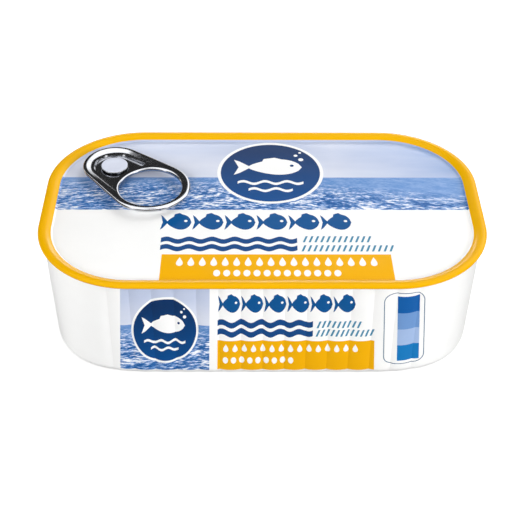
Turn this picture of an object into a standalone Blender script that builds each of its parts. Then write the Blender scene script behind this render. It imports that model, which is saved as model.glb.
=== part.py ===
"""A low fish tin: a fluted drawn body, a seamed easy-open lid with its rivet, and a ring-pull tab."""

import math

import bmesh
import bpy
from mathutils import Vector

MM = 0.001

# The whole tin: length and width over the seam, height from the foot to the seam's crest.
LENGTH = 105.0 * MM
WIDTH = 62.5 * MM
HEIGHT = 29.4 * MM
CORNER_RADIUS = 22.6 * MM

# Room left between two pieces that touch, and how far a cutter runs past the face it opens.
GAP = 0.3 * MM
CUT_OVERRUN = 1.0 * MM

# Seam round the lid. An inset is measured inwards from the tin's outline, a drop down from the crest.
SEAM_CREST_INSET = 1.1 * MM
SEAM_WIDEST_DROP = 0.55 * MM
SEAM_SKIRT_INSET = 0.5 * MM
SEAM_SKIRT_DROP = 1.15 * MM
SEAM_SKIRT_THICKNESS = 0.3 * MM
SEAM_ARC_STEPS = 4

# Countersunk panel inside the seam, and the score line at its foot.
PANEL_INSET = 3.8 * MM
PANEL_DROP = 1.0 * MM
PANEL_THICKNESS = 0.5 * MM
PANEL_WALL_POWER = 2.6
PANEL_WALL_STEPS = 6
SCORE_WIDTH = 0.3 * MM
SCORE_DEPTH = 0.1 * MM
SEAM_THICKNESS = 0.6 * MM
UNDERSIDE_INSET = 3.6 * MM

# Drawn body: its wall leans in from the seam to the foot, and its corners grow fuller on the way down.
WALL_TOP_INSET = 1.15 * MM
WALL_FOOT_INSET = 2.0 * MM
FOOT_CORNER_RADIUS = 28.0 * MM
FOOT_CORNER_POWER = 3.05
FOOT_BEND_RADIUS = 2.5 * MM
FOOT_BEND_STEPS = 5
FOOT_FLAT_WIDTH = 1.6 * MM
BASE_RISE = 0.8 * MM
BASE_BEAD_INSET = 9.0 * MM
BASE_BEAD_WIDTH = 2.4 * MM
BASE_BEAD_DEPTH = 0.5 * MM
BASE_BEAD_STEPS = 6
FLANGE_WIDTH = 1.1 * MM
FLANGE_SLOPE_RUN = 1.0 * MM

# Upright flutes along both long walls: shallow swellings that meet in sharp creases.
FLUTE_COUNT = 14
FLUTE_PITCH = 5.0 * MM
FLUTE_DEPTH = 0.4 * MM
FLUTE_STATIONS = 4
FLUTE_TOP_DROP = 1.2 * MM
FLUTE_FADE = 0.8 * MM
WALL_LEVELS = 3

# Steps of the outlines, for one quarter of the tin.
CORNER_STEPS = 12
END_WALL_STEPS = 2
LID_SIDE_STEPS = 2

# Ring-pull tab, laid over the lid's corner: a rolled rim held clear of the panel by the web's sunken pan.
NOSE_CENTRE = Vector((-36.6, 14.65, 0.0)) * MM
RING_CENTRE = Vector((-27.2, 5.55, 0.0)) * MM
HOLE_CENTRE = Vector((-27.1, 5.05, 0.0)) * MM
NOSE_RADIUS = 7.8 * MM
RING_RADIUS = 9.8 * MM
RING_HOLE_RADIUS = 7.6 * MM
TAB_THICKNESS = 1.1 * MM
TAB_LIFT = 0.7 * MM
TAB_ROUNDING = 0.5 * MM
HOLE_ROUNDING = 0.45 * MM
TAB_ARC_STEPS = 18
HOLE_STEPS = 40
ROUNDING_STEPS = 4
WELL_BORDER = 2.7 * MM
WELL_RING_BORDER = 1.3 * MM
WELL_CORNER = 1.0 * MM
WELL_WALL_LEAN = 0.2 * MM
PAN_WALL = 0.5 * MM
WEB_THICKNESS = 0.7 * MM
WELL_ARC_STEPS = 10
WELL_CORNER_STEPS = 4

# Rivet drawn up out of the panel: a stem through the tab's web under a flattened head.
RIVET_STEM_RADIUS = 2.2 * MM
RIVET_HEAD_RADIUS = 3.35 * MM
RIVET_HEAD_THICKNESS = 0.45 * MM
RIVET_EDGE_ROUNDING = 0.2 * MM
RIVET_STEPS = 28

PANEL_HEIGHT = HEIGHT - PANEL_DROP
SHARP_ANGLE = math.radians(35.0)


def clear_scene():
    for item in list(bpy.data.objects):
        bpy.data.objects.remove(item, do_unlink=True)


def finish_material(name, colour, roughness, metallic):
    """A plain finish with the colour, roughness and metal value of the real surface."""
    material = bpy.data.materials.new(name)
    material.use_nodes = True
    shader = material.node_tree.nodes["Principled BSDF"]
    shader.inputs["Base Color"].default_value = (*colour, 1.0)
    shader.inputs["Roughness"].default_value = roughness
    shader.inputs["Metallic"].default_value = metallic
    return material


def make_object(name, mesh_builder, material=None):
    """Turn a bmesh into a named object."""
    mesh = bpy.data.meshes.new(name)
    mesh_builder.to_mesh(mesh)
    mesh_builder.free()
    if material:
        mesh.materials.append(material)
    item = bpy.data.objects.new(name, mesh)
    bpy.context.collection.objects.link(item)
    return item


def smooth_finish(item):
    """Shade the round faces smooth and keep the real edges sharp."""
    item.data.shade_smooth()
    item.data.set_sharp_from_angle(angle=SHARP_ANGLE)


def stack_loops(loops, ring=False):
    """Join loops of points, each with the same count, into a closed skin: capped, or a ring."""
    skin = bmesh.new()
    rows = [[skin.verts.new(point) for point in loop] for loop in loops]
    pairs = list(zip(rows, rows[1:]))
    if ring:
        pairs.append((rows[-1], rows[0]))
    for lower, upper in pairs:
        count = len(lower)
        for index in range(count):
            after = (index + 1) % count
            skin.faces.new((lower[index], lower[after], upper[after], upper[index]))
    if not ring:
        skin.faces.new(reversed(rows[0]))
        skin.faces.new(rows[-1])
    bmesh.ops.recalc_face_normals(skin, faces=skin.faces)
    return skin


def cut_away(item, cutters):
    """Take the cutters out of an object for good, and remove them."""
    for cutter in cutters:
        boolean = item.modifiers.new("cut", 'BOOLEAN')
        boolean.operation = 'DIFFERENCE'
        boolean.object = cutter
        apply_modifier(item, boolean)
        bpy.data.objects.remove(cutter, do_unlink=True)


def fuse(item, addition):
    """Join one more closed shape to an object for good."""
    boolean = item.modifiers.new("fuse", 'BOOLEAN')
    boolean.operation = 'UNION'
    boolean.object = addition
    apply_modifier(item, boolean)
    bpy.data.objects.remove(addition, do_unlink=True)


def apply_modifier(item, modifier):
    with bpy.context.temp_override(object=item, active_object=item, selected_objects=[item]):
        bpy.ops.object.modifier_apply(modifier=modifier.name)


def corner_arc(centre, radius, power, start_x, steps):
    """Points of one plan corner from its given x round to the end wall; power 2 is a circle."""
    start_y = centre[1] + radius * (1.0 - ((start_x - centre[0]) / radius) ** power) ** (1.0 / power)
    start_angle = math.atan2(start_y - centre[1], start_x - centre[0])
    points = []
    for step in range(steps + 1):
        angle = start_angle * (1.0 - step / steps)
        across, along = math.cos(angle), math.sin(angle)
        reach = radius / (across ** power + along ** power) ** (1.0 / power)
        points.append((centre[0] + reach * across, centre[1] + reach * along))
    return points


def four_quarters(quarter):
    """Mirror a quarter outline, from the middle of the long wall to the middle of the end wall."""
    half = quarter + [(x, -y) for x, y in reversed(quarter[:-1])]
    return half + [(-x, y) for x, y in reversed(half[1:-1])]


def end_wall(corner_end, steps):
    """Points down the end wall from where its corner ends to its middle."""
    return [(corner_end[0], corner_end[1] * (1.0 - step / steps)) for step in range(1, steps + 1)]


def lid_outline(inset):
    """Rounded rectangle that runs a given inset inside the tin's outline."""
    half_length = LENGTH / 2 - inset
    half_width = WIDTH / 2 - inset
    radius = CORNER_RADIUS - inset
    centre = (half_length - radius, half_width - radius)
    quarter = [(centre[0] * step / LID_SIDE_STEPS, half_width) for step in range(LID_SIDE_STEPS)]
    quarter += corner_arc(centre, radius, 2.0, centre[0], CORNER_STEPS)
    quarter += end_wall(quarter[-1], END_WALL_STEPS)
    return four_quarters(quarter)


def seam_profile():
    """Inset and height pairs from under the lid, round the seam and down to the panel."""
    skirt_inside = SEAM_SKIRT_INSET + SEAM_SKIRT_THICKNESS
    flange_end = WALL_TOP_INSET + FLANGE_WIDTH + GAP
    profile = [
        (UNDERSIDE_INSET, -PANEL_DROP - PANEL_THICKNESS),
        (flange_end, -SEAM_THICKNESS),
        (skirt_inside, -SEAM_THICKNESS),
        (skirt_inside, -SEAM_SKIRT_DROP),
    ]
    for step in range(SEAM_ARC_STEPS + 1):
        angle = 0.5 * math.pi * (1.0 - step / SEAM_ARC_STEPS)
        inset = SEAM_SKIRT_INSET * (1.0 - math.cos(angle))
        below = (SEAM_SKIRT_DROP - SEAM_WIDEST_DROP) * math.sin(angle)
        profile.append((inset, -SEAM_WIDEST_DROP - below))
    for step in range(1, SEAM_ARC_STEPS + 1):
        angle = 0.5 * math.pi * step / SEAM_ARC_STEPS
        inset = SEAM_CREST_INSET * (1.0 - math.cos(angle))
        profile.append((inset, SEAM_WIDEST_DROP * (math.sin(angle) - 1.0)))
    for step in range(1, PANEL_WALL_STEPS + 1):
        share = step / PANEL_WALL_STEPS
        inset = SEAM_CREST_INSET + share * (PANEL_INSET - SEAM_CREST_INSET)
        profile.append((inset, -PANEL_DROP * share ** PANEL_WALL_POWER))
    profile.append((PANEL_INSET + SCORE_WIDTH / 2, -PANEL_DROP - SCORE_DEPTH))
    profile.append((PANEL_INSET + SCORE_WIDTH, -PANEL_DROP))
    return [(inset, HEIGHT + drop) for inset, drop in profile]


def turned(centre, profile, steps):
    """Closed skin turned about an upright axis through centre, from radius and height pairs."""
    loops = []
    for radius, height in profile:
        loop = []
        for step in range(steps):
            angle = 2.0 * math.pi * step / steps
            loop.append((centre.x + radius * math.cos(angle), centre.y + radius * math.sin(angle), height))
        loops.append(loop)
    return stack_loops(loops)


def rivet_profile():
    """Stem from inside the panel, then the head's underside, rounded edge and flat top."""
    head_bottom = PANEL_HEIGHT + GAP + WEB_THICKNESS + GAP
    head_top = head_bottom + RIVET_HEAD_THICKNESS
    flat_radius = RIVET_HEAD_RADIUS - RIVET_EDGE_ROUNDING
    return [
        (RIVET_STEM_RADIUS, PANEL_HEIGHT - PANEL_THICKNESS / 2),
        (RIVET_STEM_RADIUS, head_bottom),
        (RIVET_HEAD_RADIUS, head_bottom),
        (RIVET_HEAD_RADIUS, head_top - RIVET_EDGE_ROUNDING),
        (flat_radius, head_top),
    ]


def build_lid(material):
    """Seamed sheet lid with its countersunk panel, and the rivet that holds the tab."""
    loops = [[(x, y, height) for x, y in lid_outline(inset)] for inset, height in seam_profile()]
    lid = make_object("lid", stack_loops(loops), material)
    rivet = make_object("rivet_blank", turned(NOSE_CENTRE, rivet_profile(), RIVET_STEPS))
    fuse(lid, rivet)
    smooth_finish(lid)
    return lid


def flute_inset(x):
    """How far the wall lies inside the flutes' crests at x: nothing on a crest, most at a crease."""
    half_run = FLUTE_COUNT * FLUTE_PITCH / 2
    half_pitch = FLUTE_PITCH / 2
    if abs(x) > half_run:
        from_crease = min(abs(x) - half_run, half_pitch)
    else:
        within = (x + half_run) % FLUTE_PITCH
        from_crease = min(within, FLUTE_PITCH - within)
    return FLUTE_DEPTH * (1.0 - from_crease / half_pitch) ** 2


def body_outline(inset, fullness, flute_share):
    """Plan outline of the body; fullness 0 has the seam's corners and 1 the foot's."""
    half_length = LENGTH / 2 - inset
    half_width = WIDTH / 2 - inset
    foot_radius = FOOT_CORNER_RADIUS - max(0.0, inset - WALL_FOOT_INSET)
    radius = (1.0 - fullness) * (CORNER_RADIUS - inset) + fullness * foot_radius
    power = 2.0 + fullness * (FOOT_CORNER_POWER - 2.0)
    centre = (half_length - radius, half_width - radius)
    spacing = FLUTE_PITCH / FLUTE_STATIONS
    fluted_end = (FLUTE_COUNT + 1) * FLUTE_PITCH / 2
    quarter = []
    for station in range(round(fluted_end / spacing)):
        x = station * spacing
        y = half_width
        if x > centre[0]:
            y = centre[1] + radius * (1.0 - ((x - centre[0]) / radius) ** power) ** (1.0 / power)
        quarter.append((x, y - flute_share * flute_inset(x)))
    quarter += corner_arc(centre, radius, power, fluted_end, CORNER_STEPS)
    quarter += end_wall(quarter[-1], END_WALL_STEPS)
    return four_quarters(quarter)


def wall_sections():
    """Height, inset, fullness and flute share of each section, from the flange down to the foot."""
    top = HEIGHT - SEAM_THICKNESS - GAP
    bend_top = FOOT_BEND_RADIUS
    flute_top = HEIGHT - FLUTE_TOP_DROP
    flute_full = flute_top - FLUTE_FADE
    levels = [(top, 0.0), (flute_top, 0.0)]
    for level in range(WALL_LEVELS + 1):
        levels.append((flute_full + (bend_top - flute_full) * level / WALL_LEVELS, 1.0))
    sections = []
    for height, flute_share in levels:
        fullness = (top - height) / (top - bend_top)
        inset = WALL_TOP_INSET + fullness * (WALL_FOOT_INSET - WALL_TOP_INSET)
        sections.append((height, inset, fullness, flute_share))
    for step in range(1, FOOT_BEND_STEPS + 1):
        angle = 0.5 * math.pi * step / FOOT_BEND_STEPS
        inset = WALL_FOOT_INSET + FOOT_BEND_RADIUS * (1.0 - math.cos(angle))
        height = FOOT_BEND_RADIUS * (1.0 - math.sin(angle))
        sections.append((height, inset, 1.0, max(0.0, math.cos(angle) * 2.0 - 1.0)))
    return sections


def base_bead_cutter():
    """Ring with an arched top that presses the stiffening bead into the base panel."""
    below = BASE_RISE - BASE_BEAD_DEPTH
    loops = [[(x, y, below) for x, y in lid_outline(BASE_BEAD_INSET)]]
    for step in range(BASE_BEAD_STEPS + 1):
        angle = math.pi * step / BASE_BEAD_STEPS
        inset = BASE_BEAD_INSET + BASE_BEAD_WIDTH * (1.0 - math.cos(angle)) / 2
        height = BASE_RISE + BASE_BEAD_DEPTH * math.sin(angle)
        loops.append([(x, y, height) for x, y in lid_outline(inset)])
    loops.append([(x, y, below) for x, y in lid_outline(BASE_BEAD_INSET + BASE_BEAD_WIDTH)])
    return make_object("base_bead_cutter", stack_loops(loops, ring=True))


def build_body(material):
    """Filled body: its hollow is shut in and unseen, so it is one solid on a flat foot ring."""
    top = HEIGHT - SEAM_THICKNESS - GAP
    floor = PANEL_HEIGHT - PANEL_THICKNESS - GAP
    flange_end = WALL_TOP_INSET + FLANGE_WIDTH
    sections = [
        (floor, flange_end + FLANGE_SLOPE_RUN, 0.0, 0.0),
        (top, flange_end, 0.0, 0.0),
    ]
    sections += wall_sections()
    base_edge = WALL_FOOT_INSET + FOOT_BEND_RADIUS + FOOT_FLAT_WIDTH
    sections.append((0.0, base_edge, 1.0, 0.0))
    sections.append((BASE_RISE, base_edge + BASE_RISE, 1.0, 0.0))
    loops = []
    for height, inset, fullness, flute_share in sections:
        loops.append([(x, y, height) for x, y in body_outline(inset, fullness, flute_share)])
    body = make_object("can_body", stack_loops(loops), material)
    cut_away(body, [base_bead_cutter()])
    smooth_finish(body)
    return body


def hull_outline(nose_radius, ring_radius, height):
    """Belt round two circles, the small nose and the larger ring, joined by straight sides."""
    axis = RING_CENTRE - NOSE_CENTRE
    heading = math.atan2(axis.y, axis.x)
    lean = math.acos((nose_radius - ring_radius) / axis.length)
    loop = []
    for centre, radius, start, sweep in (
        (NOSE_CENTRE, nose_radius, lean, 2.0 * (math.pi - lean)),
        (RING_CENTRE, ring_radius, -lean, 2.0 * lean),
    ):
        for step in range(TAB_ARC_STEPS + 1):
            angle = heading + start + sweep * step / TAB_ARC_STEPS
            loop.append((centre.x + radius * math.cos(angle), centre.y + radius * math.sin(angle), height))
    return loop


def rounded_edge(rounding, thickness, steps):
    """Inset and height pairs up a plate's edge, rounded at its foot and its top."""
    pairs = []
    for step in range(steps + 1):
        angle = 0.5 * math.pi * step / steps
        pairs.append((rounding * (1.0 - math.sin(angle)), rounding * (1.0 - math.cos(angle))))
    for step in range(steps + 1):
        angle = 0.5 * math.pi * step / steps
        pairs.append((rounding * (1.0 - math.cos(angle)), thickness - rounding * (1.0 - math.sin(angle))))
    return pairs


def arc(centre, radius, start, sweep, steps, height):
    """Points at one height along part of a circle."""
    points = []
    for step in range(steps + 1):
        angle = start + sweep * step / steps
        points.append((centre.x + radius * math.cos(angle), centre.y + radius * math.sin(angle), height))
    return points


def well_outline(inset, height):
    """Sunken web round the rivet: inside the nose's border, cut off round by the ring's rim, its corners round."""
    axis = RING_CENTRE - NOSE_CENTRE
    heading = math.atan2(axis.y, axis.x)
    lean = math.acos((NOSE_RADIUS - RING_RADIUS) / axis.length)
    border = WELL_BORDER + inset
    corner = WELL_CORNER - inset
    arc_radius = RING_HOLE_RADIUS + WELL_RING_BORDER + inset
    cusp = math.acos((RING_RADIUS - border - corner) / (arc_radius + corner))
    corners = []
    for side in (1.0, -1.0):
        angle = heading + side * (lean + cusp)
        corners.append(RING_CENTRE + Vector((math.cos(angle), math.sin(angle), 0.0)) * (arc_radius + corner))
    loop = arc(NOSE_CENTRE, NOSE_RADIUS - border, heading + lean, 2.0 * (math.pi - lean), WELL_ARC_STEPS, height)
    loop += arc(corners[1], corner, heading - lean, math.pi - cusp, WELL_CORNER_STEPS, height)
    loop += arc(RING_CENTRE, arc_radius, heading - lean - cusp, 2.0 * (lean + cusp - math.pi), WELL_ARC_STEPS,
                height)[1:-1]
    loop += arc(corners[0], corner, heading + lean + cusp - math.pi, math.pi - cusp, WELL_CORNER_STEPS, height)
    return loop


def build_tab(material):
    """Stamped ring-pull: a rounded plate with a finger hole, a sunken pan for the web and the rivet's hole."""
    bottom = PANEL_HEIGHT + GAP
    rim_bottom = bottom + TAB_LIFT
    top = rim_bottom + TAB_THICKNESS
    loops = []
    for inset, height in rounded_edge(TAB_ROUNDING, TAB_THICKNESS, ROUNDING_STEPS):
        loops.append(hull_outline(NOSE_RADIUS - inset, RING_RADIUS - inset, rim_bottom + height))
    tab = make_object("ring_tab", stack_loops(loops), material)

    pan = []
    for flare, height in ((0.0, bottom), (WELL_WALL_LEAN, rim_bottom + TAB_THICKNESS / 2)):
        pan.append(well_outline(-PAN_WALL - flare, height))
    fuse(tab, make_object("pan_blank", stack_loops(pan)))

    hole = [(RING_HOLE_RADIUS + HOLE_ROUNDING + CUT_OVERRUN, rim_bottom - CUT_OVERRUN)]
    for inset, height in rounded_edge(HOLE_ROUNDING, TAB_THICKNESS, ROUNDING_STEPS):
        hole.append((RING_HOLE_RADIUS + inset, rim_bottom + height))
    hole.append((RING_HOLE_RADIUS + HOLE_ROUNDING + CUT_OVERRUN, top + CUT_OVERRUN))
    hole_cutter = make_object("hole_cutter", turned(HOLE_CENTRE, hole, HOLE_STEPS))

    web_top = bottom + WEB_THICKNESS
    well = [well_outline(WELL_WALL_LEAN, web_top), well_outline(0.0, top), well_outline(0.0, top + CUT_OVERRUN)]
    well_cutter = make_object("well_cutter", stack_loops(well))

    stem_hole = RIVET_STEM_RADIUS + GAP
    rivet_hole = [(stem_hole, bottom - CUT_OVERRUN), (stem_hole, top + CUT_OVERRUN)]
    rivet_cutter = make_object("rivet_cutter", turned(NOSE_CENTRE, rivet_hole, RIVET_STEPS))

    cut_away(tab, [hole_cutter, well_cutter, rivet_cutter])
    smooth_finish(tab)
    return tab


def main():
    clear_scene()
    build_body(finish_material("enamelled_white", (0.88, 0.88, 0.87), 0.35, 0.0))
    build_lid(finish_material("enamelled_yellow", (0.95, 0.55, 0.01), 0.3, 0.0))
    build_tab(finish_material("bright_steel", (0.35, 0.36, 0.38), 0.18, 1.0))


main()
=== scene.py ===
"""Dresses the flat fish tin: enamelled and printed body and lid, steel ring-pull, and a pale studio."""

import math
from types import SimpleNamespace

import bmesh
import bpy
from bpy.props import FloatProperty, FloatVectorProperty, PointerProperty
from mathutils import Matrix, Vector
from mathutils.geometry import delaunay_2d_cdt


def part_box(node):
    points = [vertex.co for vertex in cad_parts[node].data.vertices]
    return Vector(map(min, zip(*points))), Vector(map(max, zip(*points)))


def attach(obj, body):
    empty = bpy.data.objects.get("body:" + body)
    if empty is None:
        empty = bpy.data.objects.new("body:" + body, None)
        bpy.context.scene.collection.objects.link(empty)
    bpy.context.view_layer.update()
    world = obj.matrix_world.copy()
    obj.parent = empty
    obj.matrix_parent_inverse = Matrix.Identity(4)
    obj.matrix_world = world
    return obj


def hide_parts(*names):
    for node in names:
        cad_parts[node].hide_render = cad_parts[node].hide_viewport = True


bl_info = {
    "name": "Fish Tin Dresser",
    "version": (1, 0, 0),
    "blender": (4, 5, 0),
    "location": "View3D > Sidebar > Fish Tin",
    "description": "Builds the dressed pieces of a flat fish tin over its CAD solids, and its studio",
    "category": "Object",
}

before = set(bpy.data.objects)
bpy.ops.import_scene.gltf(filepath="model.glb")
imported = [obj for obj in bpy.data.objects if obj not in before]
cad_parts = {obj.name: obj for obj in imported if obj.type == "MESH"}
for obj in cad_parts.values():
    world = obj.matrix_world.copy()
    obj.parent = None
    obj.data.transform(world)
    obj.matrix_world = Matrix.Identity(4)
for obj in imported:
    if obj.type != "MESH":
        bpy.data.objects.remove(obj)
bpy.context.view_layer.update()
LID_LOW, LID_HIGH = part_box("lid")
TAB_LOW, TAB_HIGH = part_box("ring_tab")

MM = 0.001

# Steps of outlines and of round edges.
CORNER_STEPS = 28
SIDE_STEPS = 12
END_STEPS = 4
ROUND_STEPS = 8
BEAD_STEPS = 16
SLOPE_STEPS = 12
CROWN_STEPS = 5
WALL_LEVELS = 8
FLUTE_STATIONS = 8
TAB_ARC_STEPS = 96
WELL_CORNER_STEPS = 12
HOLE_STEPS = 192
RIVET_STEPS = 96
HEAD_EDGE_STEPS = 6
FISH_STEPS = 16
DROP_STEPS = 24
OVAL_STEPS = 20
EYE_STEPS = 14
BADGE_STEPS = 120
BADGE_EYE_STEPS = 16
FRAME_STEPS = 6

# Least angle of a sharp edge, and the gap that joins points: in metres in a mesh, in millimetres in a sheet.
SHARP_ANGLE = math.radians(24.0)
MERGE_DISTANCE = 1e-7
SHEET_MERGE = 1e-5

# Lid and body, in millimetres: a reach runs inwards from the wall, and a sheet's cut takes off its edge.
PANEL_UNDER_STEP = 0.2
LID_FLANGE_REACH = 1.4
BODY_FLANGE_REACH = 1.1
BODY_TOP_SLOPE = 1.0
SHEET_CUT = 0.08
FOOT_CUT_LEAN = 0.03
BASE_SLOPE_END = 0.1
STRIP_END = 40.0

# Flutes on each long wall, and the powers of the corners' curve and of the lid's inner slope.
FLUTES = 14
CIRCLE = 2.0
FOOT_EXTRA_POWER = 1.05
LID_SLOPE_POWER = 2.0

# Ring-pull and rivet, in millimetres, with plan places from the tin's middle.
NOSE_CENTRE = Vector((-36.6, 14.65))
RING_CENTRE = Vector((-27.2, 5.55))
HOLE_CENTRE = Vector((-27.1, 5.05))
WELL_SLOPE = 0.3
RIM_CREST = 0.75
RIM_CROWN = 0.5
CROWN_WIDTH = 1.35
ROLL_DEPTH = 0.55
RING_ROLL = 1.0
HOLE_ROLL = 0.7
PAN_SLOPE = 0.3
STEM_ROOM = 2.5
HEAD_SHEET = 0.27
HEAD_ROUNDING = 0.13
HEAD_EDGE = 0.17
HEAD_LIP = 0.1
# The head's dish as radius and dip, and the stem's flare as reach past the stem and rise off the panel.
HEAD_DISH = ((2.5, 0.0), (2.1, 0.03), (1.7, 0.08), (0.8, 0.1), (0.02, 0.1))
STEM_FLARE = ((0.35, -0.1), (0.12, 0.12), (0.0, 0.4))

# Print, in millimetres. The wall's print runs a little wider lower down, as in the photo.
BADGE_REACH = 13.2
BADGE_EDGE = 0.85
LID_HORIZON = 11.8
LID_SHORE = -1.65
LID_BADGE_SPAN = (1.0, 27.0)
WALL_HORIZON = 16.3
WALL_BADGE_SPAN = (4.0, 25.0)
PRINT_TOP = 28.35
PRINT_FOOT = 1.9
PRINT_LEVEL = 26.5
PRINT_SPREAD = 0.0021
WAVE_SWING = 0.5
WAVE_STEP = 0.35

GAUGE_STEPS = ("gauge_deep", "gauge_mid", "gauge_pale", "gauge_bright")
PLAIN_INKS = ("yellow", "banner", "blue", "wave_blue", "teal", "gauge_line", *GAUGE_STEPS)
SHARED_INKS = ("sky", "sea", "navy", "blue", "wave_blue", "teal")
WALL_INKS = ("white", "banner", *SHARED_INKS, "gauge_line", *GAUGE_STEPS)
LID_INKS = ("yellow", "banner", "white", *SHARED_INKS)

# Roughness and gloss of an enamel, and of the yellow one, which shines less so that its colour holds.
ENAMEL_FINISH = (0.3, 0.16)
YELLOW_FINISH = (0.25, 0.13)

# Strength of the studio room's light on matt faces, and in reflections.
ROOM_LIGHT = 0.35
GLOSS_LIGHT = 2.0

# Dark curtains in the room: turn from straight behind towards the right, rise and reach, in degrees.
CURTAINS = ((-25.0, 26.0, 33.0), (-95.0, 12.0, 32.0), (180.0, 15.0, 42.0), (40.0, 0.0, 20.0),
            (100.0, 5.0, 28.0), (180.0, 85.0, 8.0), (10.0, 43.0, 8.0))
CURTAIN_EDGE = 3.0
CURTAIN_LIGHT = 0.02

# Soft lights: name, place and width in metres, and power in watts. All but the strip are square.
SOFT_LIGHTS = (
    ("overhead", (0.45, 0.8, 0.62), 0.7, 7.2),
    ("key", (1.12, -0.52, 0.42), 0.4, 10.5),
    ("front", (-0.35, -1.03, 0.51), 0.6, 9.4),
    ("left", (-1.13, 0.02, 0.35), 0.6, 5.5),
)
STRIP_LIGHT = ("back_strip", (0.0, 1.4, 0.46), 0.8, 5.0)
STRIP_HEIGHT = 0.16

# Paper floor: half its width and its gap under the foot, in metres, and its grey in reflections.
FLOOR_REACH = 4.0
FLOOR_GAP = 0.00002
FLOOR_SHADE = 0.35

# Camera, fitted to the photo's rim and body: angles in radians, distances in millimetres.
CAMERA_TILT = 0.6805
CAMERA_TURN = 0.0110
CAMERA_ROLL = 0.0076
CAMERA_DISTANCE = 297.824
CAMERA_ACROSS = -0.0412
CAMERA_UP = 14.7798
CAMERA_LENS = 84.690
CAMERA_SENSOR = 36.0

# How near the camera still sees, in metres.
CAMERA_NEAR = 0.01


def linear(hex_colour):
    """Linear colour of an sRGB hex value."""
    channels = []
    for start in (0, 2, 4):
        value = int(hex_colour[start:start + 2], 16) / 255
        channels.append(value / 12.92 if value <= 0.04045 else ((value + 0.055) / 1.055) ** 2.4)
    return tuple(channels)


def length_property(name, description, millimetres):
    return FloatProperty(name=name, description=description, default=millimetres * MM, min=0.0,
                         unit='LENGTH', precision=5)


def colour_property(name, description, hex_colour):
    return FloatVectorProperty(name=name, description=description, default=linear(hex_colour), size=3,
                               min=0.0, max=1.0, subtype='COLOR')


class TinSizes(bpy.types.PropertyGroup):
    """Sizes of the tin. An inset runs inwards from its outline, and a drop down from the seam's crest."""

    length: FloatProperty(name="Length", description="Over the seam", default=LID_HIGH.x - LID_LOW.x,
                          unit='LENGTH')
    width: FloatProperty(name="Width", description="Over the seam", default=LID_HIGH.y - LID_LOW.y,
                         unit='LENGTH')
    height: length_property("Height", "From the foot to the seam's crest", 29.4)
    corner_radius: length_property("Corner radius", "Of the seam's outline", 22.6)
    gap: length_property("Gap", "Room between two pieces that touch", 0.3)
    crest_inset: length_property("Crest inset", "Of the seam's highest line", 1.1)
    widest_drop: length_property("Widest drop", "Where the seam bulges out most", 0.55)
    skirt_inset: length_property("Skirt inset", "Of the seam's lower edge", 0.5)
    skirt_drop: length_property("Skirt drop", "Of the seam's lower edge", 1.15)
    skirt_thickness: length_property("Skirt thickness", "Sheet under the seam's lower edge", 0.3)
    seam_thickness: length_property("Seam thickness", "From the crest to the body's flange", 0.6)
    yellow_edge: length_property("Yellow edge", "Inset where the yellow border ends", 3.0)
    panel_inset: length_property("Panel inset", "Where the flat panel starts", 3.3)
    panel_drop: length_property("Panel drop", "Depth of the flat panel", 1.0)
    panel_thickness: length_property("Panel thickness", "Sheet of the panel", 0.5)
    score_width: length_property("Score width", "Of the score line round the panel", 0.3)
    score_depth: length_property("Score depth", "Of the score line round the panel", 0.04)
    wall_top_inset: length_property("Wall top inset", "Of the wall under the seam", 1.15)
    wall_foot_inset: length_property("Wall foot inset", "Of the wall above the foot's bend", 2.0)
    foot_corner_radius: length_property("Foot corner radius", "Of the fuller corners at the foot", 28.0)
    bend_radius: length_property("Foot bend radius", "From the wall into the foot", 2.5)
    foot_width: length_property("Foot width", "Of the flat ring that the tin rests on", 1.6)
    base_rise: length_property("Base rise", "Of the base panel above the foot", 0.8)
    bead_inset: length_property("Base bead inset", "Of the stiffening bead", 9.0)
    bead_width: length_property("Base bead width", "Of the stiffening bead", 2.4)
    bead_depth: length_property("Base bead depth", "Of the stiffening bead", 0.5)
    flute_pitch: length_property("Flute pitch", "Width of one flute", 5.0)
    flute_depth: length_property("Flute depth", "From a flute's swelling to its crease", 0.4)
    flute_top_drop: length_property("Flute top drop", "Where the flutes start to form", 1.2)
    flute_fade: length_property("Flute fade", "Height over which a flute forms", 0.8)
    nose_radius: length_property("Tab nose radius", "Of the tab's rounded nose", 7.8)
    ring_radius: length_property("Ring radius", "Outside of the ring", 9.8)
    hole_radius: length_property("Finger hole radius", "Inside of the ring", 7.6)
    tab_height: FloatProperty(name="Tab height", description="From under the web to the rolled rim's top",
                              default=TAB_HIGH.z - TAB_LOW.z, unit='LENGTH')
    tab_lift: length_property("Tab lift", "Of the rolled rim above the web's underside", 0.7)
    tab_rounding: length_property("Tab rounding", "Of the rolled rim's outer edge", 0.5)
    hole_rounding: length_property("Hole rounding", "Of the finger hole's edge", 0.45)
    web_thickness: length_property("Web thickness", "Sheet round the rivet", 0.7)
    pan_wall: length_property("Pan wall", "Sheet between the well and the pan's outside", 0.5)
    well_border: length_property("Well border", "Width of the rim round the nose", 2.7)
    well_ring_border: length_property("Well ring border", "Between the well and the finger hole", 1.3)
    well_corner: length_property("Well corner", "Radius of the well's two corners", 1.0)
    stem_radius: length_property("Rivet stem radius", "Of the rivet's stem", 2.2)
    head_radius: length_property("Rivet head radius", "Of the rivet's flattened head", 3.35)
    head_thickness: length_property("Rivet head thickness", "Of the rivet's flattened head", 0.45)


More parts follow.
